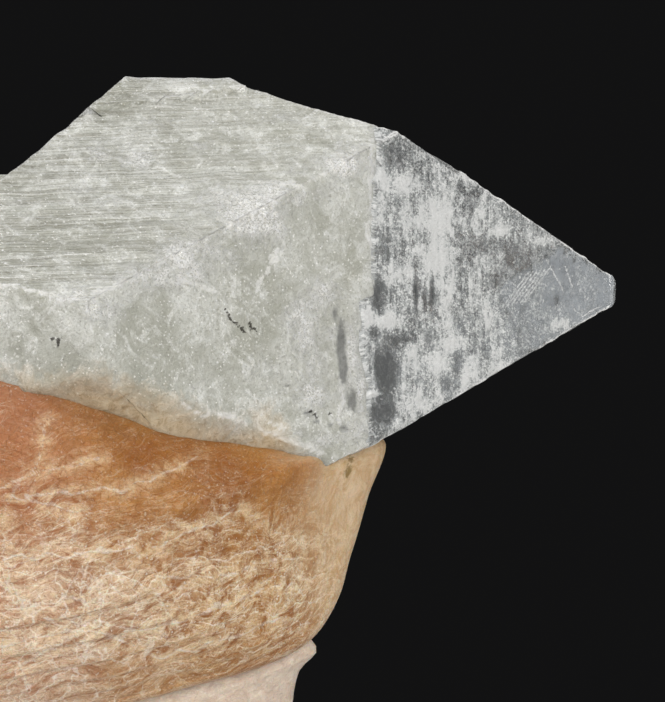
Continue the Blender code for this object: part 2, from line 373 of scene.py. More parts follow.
def field(tree, name, vector=False):
    """One of the values or vectors that the mesh carries."""
    return add(tree, "Attribute", "Vector" if vector else "Fac", {"attribute_name": name})


def new_group(name, inputs, outputs):
    """An empty group of nodes that takes a vector and these values.

    The result is its tree, what it is given by name, and the ends that it fills.
    """
    tree = bpy.data.node_groups.new(name, "ShaderNodeTree")
    tree.interface.new_socket("Vector", in_out="INPUT", socket_type="NodeSocketVector")
    for label, value in inputs.items():
        socket = tree.interface.new_socket(label, in_out="INPUT", socket_type="NodeSocketFloat")
        socket.default_value = value
    for label in outputs:
        tree.interface.new_socket(label, in_out="OUTPUT", socket_type="NodeSocketFloat")
    given = {socket.name: Value(socket) for socket in tree.nodes.new("NodeGroupInput").outputs}
    return tree, given, tree.nodes.new("NodeGroupOutput").inputs


def use(group, vector, out="Mask", **inputs):
    """What a group puts out for a vector, with its other inputs set."""
    return add(vector.tree, "Group", out, {"node_tree": group}, Vector=vector, **inputs)


def streaks_group():
    """Long thin marks: noise drawn out along the first coordinate and squeezed across the second."""
    values = {"Length": 20.0, "Width": 0.3, "From": 0.5, "To": 0.6}
    tree, given, made = new_group("streaks", values, ["Mask"])
    x, y, z = parts_of(given["Vector"])
    length = given["Length"]
    drawn_out = add(tree, "CombineXYZ", X=x / length, Y=y / given["Width"], Z=z / length)
    fill(made["Mask"], ramp(noise(drawn_out, 1.0, 3.0, 0.6), given["From"], given["To"]))
    return tree


def grains_group():
    """Broken crystal grains: each cell has a shade of its own, and Cover says how many of them show."""
    tree, given, made = new_group("grains", {"Size": 0.25, "Cover": 0.5}, ["Shade", "Mask"])
    place = scaled(given["Vector"], 1.0 / given["Size"])
    bent = moved(place, noise(place, 0.8, 2.0, 0.5, out="Color"))
    cells = add(tree, "TexVoronoi", "Color", {"feature": "F1"}, Vector=bent, Scale=1.0)
    shade, chance, _ = parts_of(cells)
    hidden = 1.0 - given["Cover"]
    fill(made["Shade"], shade)
    fill(made["Mask"], ramp(chance, hidden, hidden + 0.06))
    return tree


def cracks_group():
    """A net of thin cracks: the borders between the cells of a warped Voronoi pattern."""
    tree, given, made = new_group("cracks", {"Cell": 3.0, "Width": 0.05, "Warp": 1.0}, ["Mask"])
    place = scaled(given["Vector"], 1.0 / given["Cell"])
    bent = moved(place, scaled(noise(place, 1.3, 3.0, 0.6, out="Color"), given["Warp"]))
    border = add(tree, "TexVoronoi", settings={"feature": "DISTANCE_TO_EDGE"}, Vector=bent, Scale=1.0)
    fill(made["Mask"], ramp(border, 0.0, given["Width"] / given["Cell"], 1.0, 0.0))
    return tree


streaks = streaks_group()
grains = grains_group()
cracks = cracks_group()


def new_material(name, **sockets):
    """A material with a Principled shader, and the shader's plain values set on its own sockets."""
    material = bpy.data.materials.new(name)
    material.use_nodes = True
    shader = material.node_tree.nodes["Principled BSDF"]
    for label, value in sockets.items():
        shader.inputs[label.replace("_", " ")].default_value = value
    return material, material.node_tree, shader


def relief(shader, height, depth):
    """Joins a height to the shader's normal, depth in mm."""
    bump = add(height.tree, "Bump", "Normal", Strength=1.0, Distance=depth * MM, Height=height)
    fill(shader.inputs["Normal"], bump)


BODY_MIDDLE = np.array([-4.95, -4.95])
BODY_START = PARTING + 1.0
BODY_STOP = -68.0  # along c, past the broken end
BODY_ROWS = 290
CAP_ROWS = 14
BROKEN_END_POLE = ((-32.25, -3.0, 38.0) - APEX) @ TURN  # on the ridge between the two broken faces
BROKEN_END_DEPTH = 0.25
PARTING_FADE = 0.7  # mm: the relief fades out this close to the parting
# Columns of the body from corner to corner of the prism. The upper front side comes first.
BODY_COLUMNS = (118, 66, 80, 46)
BODY_FRONT = 2.0  # the placed marks show only on what lies in front of this along Y
PLAIN_EDGE_CORNER = (4.0, 38.3)  # left of and below this, in X and Z, the front edges aren't whitened, a whitening that is partly wear and partly a painted edge highlight
# Frosted and broken patches: world X and Z in mm, half width and half height, and strength.
FROST = (
    (-3.6, 49.3, 0.9, 0.9, 0.9), (-0.8, 48.9, 1.5, 0.8, 1.0), (-0.1, 51.6, 2.4, 0.7, 0.5),
    (6.6, 45.6, 1.9, 1.2, 1.0), (4.0, 46.4, 1.6, 1.4, 0.6), (2.3, 42.0, 2.0, 1.6, 0.55),
    (9.3, 46.9, 0.9, 0.5, 0.6), (12.9, 48.4, 0.8, 0.5, 0.8), (-5.0, 39.2, 1.0, 0.35, 1.0),
    (12.0, 39.7, 1.2, 1.0, 1.0), (10.9, 37.6, 1.5, 1.4, 0.7), (10.9, 32.6, 1.0, 1.2, 0.8),
    (13.4, 33.0, 0.5, 2.0, 0.7), (-0.2, 31.8, 0.6, 0.3, 0.9), (5.9, 30.3, 0.8, 0.6, 0.9),
    (-4.6, 46.9, 1.2, 0.5, 0.6), (-2.6, 45.8, 1.6, 0.5, 0.5), (9.0, 51.8, 1.2, 0.4, 0.6),
    (10.1, 38.2, 1.0, 1.0, 0.6), (8.0, 44.2, 1.6, 0.7, 0.7), (13.0, 36.8, 0.8, 1.0, 0.6),
    (7.8, 34.2, 1.8, 1.2, 0.4), (11.5, 34.6, 0.9, 1.4, 0.6), (12.3, 29.6, 1.2, 0.5, 0.9),
    (4.0, 33.2, 1.4, 0.5, 0.4), (3.4, 49.8, 1.2, 0.5, 0.7), (-7.4, 44.6, 1.0, 0.3, 0.6),
    (13.95, 35.6, 0.3, 1.6, 1.3), (14.5, 33.0, 0.35, 1.6, 1.2), (11.8, 32.5, 0.6, 0.5, 0.9),
    (14.0, 30.2, 0.8, 0.8, 0.8), (10.6, 36.0, 0.8, 0.9, 0.6), (9.6, 30.0, 1.2, 0.3, 0.7),
)
FROSTED_EDGE = (((-3.7, 39.0), (2.4, 41.4), (7.3, 43.8), (9.0, 46.4), (12.9, 48.4), (15.8, 50.0)),)
WHITE_LINES = (
    ((-9.7, 40.1), (-8.3, 40.0), (-7.0, 39.3), (-5.4, 38.9), (-4.4, 39.0)),
    ((6.3, 54.0), (0.4, 53.1)), ((6.9, 47.2), (9.9, 47.3)), ((15.2, 50.2), (15.1, 42.0)),
    ((2.4, 32.0), (3.6, 31.5), (6.2, 31.3)), ((7.6, 31.5), (8.6, 30.9), (9.2, 30.2)),
    ((-3.4, 39.6), (-0.5, 40.4)), ((13.4, 36.6), (13.2, 33.4), (13.0, 30.6)),
    ((8.8, 42.4), (8.0, 41.0), (7.1, 39.1)), ((2.2, 40.4), (4.8, 39.6)),
)
DARK_CRACKS = (
    ((5.2, 38.7), (5.6, 38.0), (6.2, 37.4)), ((6.9, 37.5), (7.5, 36.7)), ((7.2, 36.9), (7.7, 37.0)),
    ((-6.3, 36.5), (-5.7, 36.1)), ((-5.8, 36.4), (-5.5, 36.3)), ((6.4, 37.2), (6.7, 36.9)),
    ((10.9, 31.8), (11.5, 31.4)), ((12.3, 31.2), (12.6, 31.1)),
)
# Painted shade: dark patches on clear gaps in the milk near the cleavage and on the hollow at the lower
# corner, given like the frosted patches.
PAINTED_GAP_SHADE = (
    (13.15, 36.3, 0.35, 1.6, 1.2), (13.3, 34.3, 0.3, 1.0, 1.1), (13.85, 32.2, 0.38, 0.8, 1.2),
    (13.3, 30.3, 0.5, 0.3, 0.8), (10.9, 31.4, 0.5, 0.25, 1.0), (11.4, 30.8, 0.4, 0.25, 0.9),
    (14.75, 36.6, 0.3, 1.8, 1.1), (12.4, 30.6, 0.3, 0.25, 0.8), (1.2, 38.0, 0.5, 0.15, 0.6),
    (9.4, 33.2, 0.3, 0.15, 0.7), (12.7, 38.2, 0.2, 0.6, 0.8),
)
# The thin skin through which the stilbite shows fades out above this line: world X and Z in mm. Behind
# SKIN_FRONT along Y it also fades with depth.
THIN_SKIN = ((-12.0, -7.4, -4.6, -2.6, -1.0, 2.25, 3.6, 6.5, 8.2, 9.2, 10.3, 12.0, 15.0),
             (33.4, 33.6, 33.6, 33.9, 33.2, 32.0, 31.0, 30.2, 31.2, 30.6, 29.4, 28.6, 28.2))
SKIN_FRONT = -9.0
SKIN_FADE = 0.9


def patched(world, patches):
    """Strength of soft-edged patches at world points, seen from the front.

    Each patch adds its strength times exp(-0.9 off), where off is the squared distance from its middle,
    counted in half widths and half heights.
    """
    total = np.zeros(world.shape[:-1])
    for x, z, half_width, half_height, strength in patches:
        off = ((world[..., 0] - x) / half_width) ** 2 + ((world[..., 2] - z) / half_height) ** 2
        total += strength * np.exp(-0.9 * off)
    return total


def near_lines(world, lines, width, waver=0.09):
    """How near world points lie to lines through X and Z points, seen from the front: 1 on one, 0 at width.

    The points are first moved a little by ripples, so that each line wavers.
    """
    flat = world[..., (0, 2)]
    shift = [ripple(flat, 2.4, seed) + 0.5 * ripple(flat, 0.8, seed + 2) for seed in (31, 32)]
    here = (flat + waver * np.stack(shift, -1))[..., None, :]
    nearest = np.full(world.shape[:-1], np.inf)
    for line in lines:
        start, step = np.array(line[:-1], float), np.diff(np.array(line, float), axis=0)
        share = np.clip(((here - start) * step).sum(-1) / (step**2).sum(-1), 0, 1)
        off = np.linalg.norm(here - start - share[..., None] * step, axis=-1).min(axis=-1)
        nearest = np.minimum(nearest, off)
    return np.clip(1 - nearest / width, 0, 1)


def prism_corners(distances, middle):
    """Azimuths of the prism's corners about the middle line, going round once from the top ridge.

    The sides stand square to each other, so a corner lies at its two sides' distances along their normals.
    """
    azimuths = [radians(azimuth) for azimuth in PRISM_AZIMUTHS]
    turns = []
    for a, b in ((0, 1), (3, 0), (2, 3), (1, 2), (0, 1)):
        corner = around(np.array(azimuths[a])) * distances[a] + around(np.array(azimuths[b])) * distances[b]
        turns.append(np.arctan2(corner[2] - middle[1], middle[0] - corner[1]))
    turns = np.unwrap(turns)
    turns[-1] = turns[0] - 2 * pi
    return turns


def spread(turns, counts):
    """Azimuths of the columns: so many between each two corners, evenly."""
    return np.concatenate([
        np.linspace(a, b, count, endpoint=False) for a, b, count in zip(turns, turns[1:], counts)
    ])


def capped(side, pole, cap_x=None):
    """Rings from a point out to a side's end ring, on straight lines or where cap_x puts them along c."""
    share = np.linspace(0, 1, CAP_ROWS + 1)[1:-1, None, None]
    rings = pole + share * (side - pole)
    if cap_x:
        rings[..., 0] = cap_x(rings[..., 2])
    return rings


def crystal_fields(first_cap, side, last_cap, kind, edge):
    """All rings as one lattice, and the masks that the crystal's materials read on it.

    The grain runs along c on the prism and along the cleavage on the pyramid. The caps are plain faces
    with no edges.
    """
    lattice = np.concatenate([first_cap, side, last_cap])
    before, after = np.zeros(first_cap.shape[:2]), np.zeros(last_cap.shape[:2])
    kind = np.concatenate([before, kind, after])
    x, y, z = np.moveaxis(lattice, -1, 0)
    across = (y + z) / sqrt(2) - STRIA_SLANT * (x - PARTING)
    along_prism = np.stack([x, across, (z - y) / sqrt(2)], -1)
    along_cleavage = np.stack([z, x, y], -1)
    return lattice, {
        "lattice": lattice,
        "grain": np.where((kind == PYRAMID)[..., None], along_cleavage, along_prism),
        "edge": np.concatenate([before, edge, after]),
        "striated": (kind == STRIATED).astype(float),
    }


def body_relief(lattice, fields):
    """Height of the body's surface over its flat faces, in mm.

    Ledges of three widths run along the prism. To them are added chips along the edges, a gentle
    unevenness, broken grains in the frosted patches, the dark cracks, and a step at the thin skin.
    """
    x = lattice[..., 0]
    across = fields["grain"][..., 1]
    drawn = np.stack([x / 14, across / 2.5], -1)
    strength = np.clip(0.6 + 0.5 * ripple(drawn, 1.0, 3), 0.1, 1.3)
    steps = 0.07 * ledges(across, 2.3, 4) + 0.04 * ledges(across + 0.01 * x, 0.9, 5)
    steps += 0.025 * ledges(across, 0.42, 6)
    prism = np.where(fields["striated"] > 0, 1.0, 0.2) * (np.abs(fields["grain"][..., 0] - x) < 1e-9)
    height = -steps * strength * prism * (1 - fields["edge"])
    height -= fields["edge"] * 0.05 * np.clip(ripple(lattice, 1.7, 7) - 0.2, 0, 1.2)
    height -= 0.05 * (1 + 0.6 * ripple(lattice, 4.0, 8) + 0.3 * ripple(lattice, 1.6, 10))
    height -= np.clip(fields["frost"], 0, 1) * (0.05 + 0.05 * np.floor(3 * ripple(lattice, 0.8, 9)) / 3)
    return height - 0.06 * fields["crack"] - 0.1 * np.clip(fields["skin"] / 1.2, 0, 1)


def crystal_body():
    """Rings of the milky body from the cleavage plane to the broken end, in world mm, with their fields."""
    azimuth = spread(prism_corners(GROWTHS[0][0], BODY_MIDDLE), BODY_COLUMNS)

    def allow(place):
        beyond = (place @ END_PLANES[:, :3].T - END_PLANES[:, 3]).max(axis=-1)
        return (beyond < 0) & (place[..., 0] < parting(place[..., 2]))

    side, kind, edge = side_rings(azimuth, BODY_MIDDLE, BODY_START, BODY_STOP, BODY_ROWS, allow)
    front_pole = np.array([parting(BODY_MIDDLE[1]), *BODY_MIDDLE])
    front_cap = capped(side[0], front_pole, parting)
    end_cap = capped(side[-1], BROKEN_END_POLE)[::-1]
    lattice, fields = crystal_fields(front_cap, side, end_cap, kind, edge)
    world = in_world(lattice)
    x, y, z = np.moveaxis(world, -1, 0)
    facing = y < BODY_FRONT
    edge_frost = near_lines(world, FROSTED_EDGE, 2.6) * (0.7 + 0.3 * ripple(world, 3.0, 11))
    fields["frost"] = np.clip(patched(world, FROST) + edge_frost, 0, 1.3) * facing
    fields["white_line_share"] = near_lines(world, WHITE_LINES, 0.4) * facing
    fields["crack"] = near_lines(world, DARK_CRACKS, 0.2) * facing
    # painted shade: how strongly the clear gaps and the hollow are darkened
    fields["gap_shade_paint"] = patched(world, PAINTED_GAP_SHADE) * facing
    fields["edge"] = fields["edge"] * ~(facing & (x < PLAIN_EDGE_CORNER[0]) & (z < PLAIN_EDGE_CORNER[1]))
    fields["skin"] = np.interp(x, *THIN_SKIN) - z - SKIN_FADE * np.clip(y - SKIN_FRONT, 0, 20)
    height = body_relief(lattice, fields)
    height *= np.clip((parting(lattice[..., 2]) - lattice[..., 0]) / PARTING_FADE, 0, 1)
    end = lattice[-CAP_ROWS + 1 :]
    height[-CAP_ROWS + 1 :] = -BROKEN_END_DEPTH * (1 + 0.7 * ripple(end, 2.5, 13))
    points = world + (unit_normals(lattice) * height[..., None]) @ TURN.T
    return points, in_world(np.stack([front_pole, BROKEN_END_POLE])), fields


def milky_finish():
    """Milky apophyllite: grey-white, lit from within and striated.

    Over the milk lie clouds and veils, the streaks of the striated face with painted highlights along them,
    broken white grains, a net of fine cracks, painted glints, the stilbite's colour where the skin is thin,
    thin white lines, edges whitened partly by wear and partly as a painted highlight, painted shade on the
    clear gaps and the hollow, and dark cracks.
    """
    material, tree, shader = new_material(
        "apophyllite_milky", Roughness=0.3, IOR=1.535, Subsurface_Weight=0.6, Subsurface_Scale=0.002,
        Subsurface_Radius=(1.0, 0.97, 0.88), Coat_Weight=0.25, Coat_Roughness=0.08,
    )
    lattice, grain = field(tree, "lattice", True), field(tree, "grain", True)
    edge, frost, skin, striated = (field(tree, name) for name in ("edge", "frost", "skin", "striated"))
    clouds = noise(lattice, 0.22, 5.0, 0.65, 0.8)
    veils = noise(lattice, 0.55, 7.0, 0.7, 1.6)
    mottle = noise(lattice, 1.7, 6.0, 0.75, 0.6)
    dust = noise(lattice, 6.0, 3.0, 0.75)
    fine = use(streaks, grain, Length=12.0, Width=0.1, From=0.5, To=0.62)
    broad = use(streaks, grain, Length=18.0, Width=0.34, From=0.5, To=0.66)
    bright = use(streaks, grain, Length=6.0, Width=0.12, From=0.58, To=0.68)
    speck = use(grains, lattice, "Shade", Size=0.09, Cover=0.8)
    glint = use(grains, lattice, Size=0.11, Cover=0.06)
    net = use(cracks, lattice, Cell=1.6, Width=0.06, Warp=1.2)
    inward = parts_of(lattice)[0]
    lined = (0.15 + striated) * ramp(inward, -26.0, -38.0, 0.4, 0.95) * ramp(veils, 0.35, 0.6, 1.1, 0.3)
    ragged = frost + (mottle - 0.5) * 2.8 + (dust - 0.5) * 1.2
    broken = blend(ramp(speck, 0.0, 0.6), (0.40, 0.40, 0.37), (0.99, 0.99, 0.98))
    through = skin + (mottle - 0.5) * 3.0 + (veils - 0.5) * 4.0
    stained = blend(ramp(mottle, 0.4, 0.62), (0.78, 0.64, 0.43), (0.44, 0.31, 0.16))
    white_line_share = field(tree, "white_line_share") + (mottle - 0.5) * 2.4
    edge_wear_and_highlight = edge + (veils - 0.5) * 2.4
    gap_shade = field(tree, "gap_shade_paint") + (mottle - 0.5) * 1.6
    split = field(tree, "crack") + (dust - 0.5) * 1.2
    colour = layered(
        blend(ramp(clouds, 0.38, 0.62), (0.46, 0.465, 0.41), (0.70, 0.71, 0.675)),
        (ramp(veils, 0.45, 0.3, 0.0, 0.6), (0.38, 0.385, 0.33)),
        (ramp(veils, 0.5, 0.66, 0.0, 0.75), (0.88, 0.89, 0.87)),
        (ramp(mottle, 0.52, 0.72, 0.0, 0.65), (0.36, 0.36, 0.31)),
        (ramp(mottle, 0.42, 0.25, 0.0, 0.65), (0.90, 0.91, 0.89)),
        (broad * (lined * 0.7), (0.46, 0.45, 0.39)),
        (fine * lined, (0.38, 0.37, 0.31)),
        # painted highlights: thin bright streaks along the striations
        (bright * lined, (0.93, 0.93, 0.91)),
        (ramp(ragged, 0.25, 0.9, 0.0, 0.65), (0.84, 0.85, 0.83)),
        (ramp(ragged, 0.6, 1.0, 0.0, 0.75), broken),
        (net * ramp(veils, 0.5, 0.7, 0.0, 0.55), (0.95, 0.95, 0.94)),
        (ramp(dust, 0.5, 0.7, 0.0, 0.7), (0.30, 0.295, 0.25)),
        # painted glints: sparse white grains
        (glint * 0.8, (0.97, 0.97, 0.96)),
        (ramp(through, -1.2, 1.6, 0.0, 0.85), stained),
        # thin white lines along the listed ridges and ledges
        (ramp(white_line_share, 0.5, 0.85, 0.0, 0.6), (0.93, 0.93, 0.92)),
        # edges whitened: partly wear, partly a painted edge highlight
        (ramp(edge_wear_and_highlight, 0.6, 1.1, 0.0, 0.6), (0.90, 0.90, 0.88)),
        # painted shade: near-black grey on the clear gaps and the hollow
        (ramp(gap_shade, 0.35, 0.85, 0.0, 0.9), (0.24, 0.245, 0.235)),
        (ramp(split, 0.5, 0.65, 0.0, 0.92), (0.05, 0.045, 0.035)),
    )
    fill(shader.inputs["Base Color"], colour)
    fill(shader.inputs["Roughness"], ramp(mottle, 0.3, 0.7, 0.15, 0.45))
    rough = (ramp(ragged, 0.4, 1.0) + 0.12) * speck
    height = (fine * -0.7 + broad * -0.5) * lined + rough + mottle * 1.1 + veils * 1.2 + dust * 0.35
    relief(shader, height, 0.1)
    return material


rings, ends, fields = crystal_body()
body = shell("apophyllite_body", rings, ends, fields, milky_finish())
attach(body, "root")
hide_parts("apophyllite_crystal")

# ---------------------------------------------------------------------------------- clear tip
# The pyramid end of the same crystal, clear beyond a cleavage plane. Its four faces are scratched and
# frosted in patches, most of them near the cleavage, with painted glints, and its edges are whitened, partly
# as white chips and partly as a painted rim highlight.

TIP_MIDDLE = np.array([0.0, 0.0])
TIP_ROWS = 210
TIP_COLUMNS = (50, 40, 50, 190)  # the front face comes last
TIP_ROUND = 0.6  # mm: how far along c the blunt end is rounded
TIP_START = -TIP_BLUNT - TIP_ROUND
TIP_STOP = PARTING - 1.2
TIP_CLEARANCE = -0.02  # mm: the clear tip starts just inside the milky body
TIP_FRONT = 10.0  # the placed marks show only on what lies in front of this along Y
SKIN_LIFT = 0.015  # mm: the frosted skin lies this far outside the clear tip
SKIN_OVERLAP = 0.3  # mm: the frosted skin reaches this far back over the milky body
# Haze in the frosting: places along c, and how strong it is there.
TIP_HAZE = ((-19.6, -16, -13, -11, -8, -4, 0), (0.66, 0.66, 0.62, 0.54, 0.4, 0.17, 0.16))
# Clear windows, below 0, where the frosted skin is painted dark as painted shade, and whiter patches in the
# frosting: world X and Z, half width and height, strength.
TIP_PATCHES = (
    (16.3, 34.2, 0.65, 1.7, -1.3), (16.1, 31.4, 0.8, 0.8, -0.9), (18.3, 39.6, 0.12, 1.2, -1.1),
    (19.4, 39.6, 0.13, 1.4, -1.0), (18.9, 39.2, 0.1, 0.8, -0.7), (15.6, 39.6, 0.35, 1.2, -1.0),
    (21.2, 34.9, 0.22, 1.2, -0.8), (20.4, 33.4, 0.4, 0.7, -0.6), (16.4, 43.0, 0.9, 1.1, -0.35),
    (22.6, 43.1, 1.5, 0.5, -0.3), (16.8, 49.0, 0.8, 1.2, -0.5), (19.3, 47.2, 0.9, 1.0, -0.3),
    (25.4, 40.5, 1.6, 1.6, -0.12), (15.3, 36.9, 0.3, 0.5, -0.8), (17.4, 36.4, 0.9, 0.3, -0.6),
    (14.9, 46.0, 0.3, 1.6, -0.4), (15.6, 34.9, 0.2, 0.9, -0.7), (19.2, 36.3, 0.3, 0.8, -0.5),
    (17.4, 47.2, 0.9, 0.9, 0.6), (19.7, 44.9, 1.2, 1.4, 0.45), (16.3, 37.7, 0.8, 0.5, 0.8),
    (19.9, 41.9, 1.1, 1.3, 0.5), (21.3, 36.1, 0.9, 0.5, 0.6), (20.1, 34.8, 0.7, 0.8, 0.5),
    (22.3, 33.6, 0.8, 1.0, 0.5), (18.2, 32.1, 1.2, 0.8, 0.4), (24.0, 34.3, 1.6, 0.6, 0.45),
    (28.7, 37.5, 0.9, 0.5, 0.7), (27.8, 43.4, 1.4, 0.4, 0.6), (24.6, 44.1, 1.2, 0.5, 0.4),
    (17.0, 41.0, 1.4, 0.6, 0.4), (30.9, 42.4, 1.2, 0.3, 0.5), (14.9, 38.0, 0.3, 0.5, 0.8),
    (18.0, 44.6, 1.0, 0.5, 0.4), (16.0, 47.6, 0.5, 0.7, 0.5), (17.9, 35.2, 0.5, 1.0, 0.4),
    (15.4, 32.7, 0.5, 0.15, 1.2), (23.2, 37.9, 0.5, 1.1, 0.35), (20.6, 38.6, 0.4, 1.6, 0.3),
)
TIP_SCRATCHES = tuple(
    ((25.1 + 0.3 * step, 38.9 + 0.06 * step), (26.9 + 0.3 * step, 41.3 + 0.05 * step))
    for step in range(-2, 4)
) + (
    ((27.6, 42.1), (28.1, 41.2), (28.8, 39.9)), ((29.6, 38.6), (30.2, 38.1), (30.9, 38.5), (31.6, 38.8)),
    ((22.9, 39.9), (22.2, 38.6), (22.5, 37.8), (22.9, 36.9)), ((27.4, 44.2), (28.2, 42.9)),
    ((24.0, 41.5), (24.6, 42.4)), ((29.0, 41.6), (29.5, 40.2)), ((16.0, 33.0), (17.6, 32.2)),
)


def clear_tip():
    """Rings of the clear pyramid from the cleavage plane to its blunt tip, in world mm, with their fields.

    The blunt end is a fan of rings whose profile is a quarter of an ellipse, TIP_ROUND long along c. The
    frosted skin is the same rings lifted along their normals by SKIN_LIFT, without the cleaved end.
    """
    azimuth = spread(np.radians([-315.0, -225.0, -135.0, -45.0, 45.0]), TIP_COLUMNS)

    def allow(place):
        return (place[..., 0] > parting(place[..., 2]) + TIP_CLEARANCE) & (place[..., 0] <= -TIP_BLUNT)

    side, kind, edge = side_rings(azimuth, TIP_MIDDLE, TIP_START, TIP_STOP, TIP_ROWS, allow)
    side, kind, edge = side[::-1], kind[::-1], edge[::-1]
    pole = np.array([parting(0.0) + TIP_CLEARANCE, 0, 0])
    cleaved = capped(side[0], pole, lambda height: parting(height) + TIP_CLEARANCE)
    tip = np.array([-TIP_BLUNT, 0, 0])
    share = np.sin(np.linspace(0, pi / 2, CAP_ROWS + 1))[1:-1, None]
    blunt = tip + share[..., None] * (side[-1] - tip)
    blunt[..., 0] = -TIP_BLUNT - TIP_ROUND * (1 - np.sqrt(1 - share**2))
    lattice, fields = crystal_fields(cleaved, side, blunt[::-1], kind, edge)
    x = lattice[..., 0]
    world = in_world(lattice)
    strength = np.clip(0.2 + ripple(lattice, 3.5, 21), 0, 1) * np.interp(x, (-19, -12, -8), (1, 0.8, 0.1))
    height = -0.02 * ledges(x, 0.7, 22) * strength
    height -= fields["edge"] * 0.08 * np.clip(0.2 + ripple(lattice, 1.2, 23), 0, 1.2)
    height -= 0.02 * ripple(lattice, 2.6, 24)
    height *= np.clip((x - parting(lattice[..., 2])) / PARTING_FADE, 0, 1)
    front = world[..., 1] < TIP_FRONT
    fields["frost"] = np.interp(x, *TIP_HAZE) + patched(world, TIP_PATCHES) * front
    fields["scratch"] = near_lines(world, TIP_SCRATCHES, 0.2, 0.015) * front
    normals = unit_normals(lattice)
    points = world + (normals * height[..., None]) @ TURN.T
    skin = (world + (normals * (height[..., None] + SKIN_LIFT)) @ TURN.T)[CAP_ROWS - 1 :]
    back = skin[0] - skin[4]
    back *= SKIN_OVERLAP / np.linalg.norm(back, axis=-1, keepdims=True)
    skin = np.concatenate([[skin[0] + back], skin[1:]])
    return points, skin, in_world(np.stack([pole, tip])), fields


def clear_finish():
    """Clear apophyllite, slightly hazy, with polished faces."""
    material, tree, shader = new_material(
        "apophyllite_clear", Roughness=0.04, IOR=1.535, Transmission_Weight=0.92,
    )
    haze = noise(field(tree, "lattice", True), 0.5, 5.0, 0.7)
    colour = blend(ramp(haze, 0.4, 0.7), (0.88, 0.91, 0.94), (0.96, 0.97, 0.98))
    fill(shader.inputs["Base Color"], colour)
    fill(shader.inputs["Roughness"], ramp(haze, 0.45, 0.75, 0.02, 0.18))
    relief(shader, haze, 0.02)
    return material


def frost_finish():
    """The crazed and scratched skin of the clear tip: white broken grains with clear places between them.

    Its cover is the haze and the placed patches, broken up by noise and by blocks along the cleavage. Sparse
    white grains are painted glints, and the edges are whitened partly as chips and partly as a painted rim
    highlight. Where a placed patch is a clear window, the skin is painted near black and made more opaque:
    painted shade for the dark room seen through the glass.
    """
    material, tree, shader = new_material("apophyllite_frost", Roughness=0.3, IOR=1.535)
    lattice, grain = field(tree, "lattice", True), field(tree, "grain", True)
    frost, edge, scratch = (field(tree, name) for name in ("frost", "edge", "scratch"))
    speck = use(grains, lattice, "Shade", Size=0.1, Cover=0.8)
    drawn = use(streaks, grain, Length=2.2, Width=0.22, From=0.35, To=0.65)
    cloud = noise(lattice, 0.6, 5.0, 0.7, 1.2)
    mottle = noise(lattice, 1.8, 7.0, 0.8, 0.8)
    dust = noise(lattice, 5.0, 3.0, 0.8, 0.4)
    square = {"feature": "F1", "distance": "CHEBYCHEV"}
    blocks = []
    for size in ((2.6, 1.1, 1.5), (0.7, 0.32, 1.5)):
        place = add(tree, "VectorMath", settings={"operation": "DIVIDE"}, i0=grain, i1=size)
        cells = add(tree, "TexVoronoi", "Color", square, Vector=place, Scale=1.0)
        blocks.append(parts_of(cells)[0])
    busy = ramp(frost, 0.3, 0.6, 0.5, 1.0)
    pattern = (drawn - 0.3) * 0.25
    for part, weight in (
        (cloud, 1.0), (mottle, 1.6), (dust, 0.9), (speck, 0.3), (blocks[0], 0.4), (blocks[1], 0.35),
    ):
        pattern = pattern + (part - 0.5) * weight
    cover = frost + pattern * busy
    # Painted glints: sparse white grains. The scratches are added to them, and the edges, whitened partly as
    # chips and partly as a painted rim highlight.
    marks = use(grains, lattice, Size=0.14, Cover=0.05) * 0.8
    marks = greater(marks, ramp(scratch + (dust - 0.5) * 1.5, 0.55, 0.95, 0.0, 0.75))
    marks = greater(marks, ramp(edge + (mottle - 0.5) * 1.6, 0.5, 0.8, 0.0, 0.95))
    # painted shade: where a clear window lies, the skin turns near black and more opaque
    window_shade_paint = ramp(cover, 0.12, -0.1, 0.0, 0.85) * ramp(frost, 0.1, 0.0)
    colour = layered(
        blend(greater(ramp(cover, 0.5, 1.05, 0.0, 0.8), marks), (0.50, 0.53, 0.54), (0.97, 0.98, 0.98)),
        (ramp(speck, 0.7, 0.8, 0.0, 0.7), (0.98, 0.99, 0.99)),
        (window_shade_paint, (0.03, 0.033, 0.035)),
    )
    fill(shader.inputs["Base Color"], colour)
    fill(shader.inputs["Alpha"], greater(greater(ramp(cover, 0.1, 0.85, 0.02, 0.97), marks), window_shade_paint))
    relief(shader, speck * busy + cover * 1.4, 0.07)
    return material


rings, skin_rings, ends, fields = clear_tip()
tip = shell("apophyllite_tip", rings, ends, fields, clear_finish())
tip_skin = shell(
    "apophyllite_tip_frost", skin_rings, np.stack([ends[0], skin_rings[-1].mean(axis=0)]),
    {name: values[CAP_ROWS - 1 :] for name, values in fields.items()}, frost_finish(), first_open=True,
)
for piece in (tip, tip_skin):
    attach(piece, "root")
    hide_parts("apophyllite_crystal")

# ---------------------------------------------------------------------------------- cleavage veils
# Thin frosted cracks inside the clear tip, each along the crystal's one perfect cleavage, square to c.
# They are lenses with ragged outlines, strewn at random and joined in one mesh.

VEIL_COUNT = 22
VEIL_ROWS = 10
VEIL_COLUMNS = 24
VEIL_HALF_THICKNESS = 0.03
VEIL_START, VEIL_REACH = 0.4, 7.0  # mm from the parting to the first veil, and how far they are strewn
VEIL_ROOM = 0.52  # mm: half the room for veils, for each mm below the apex


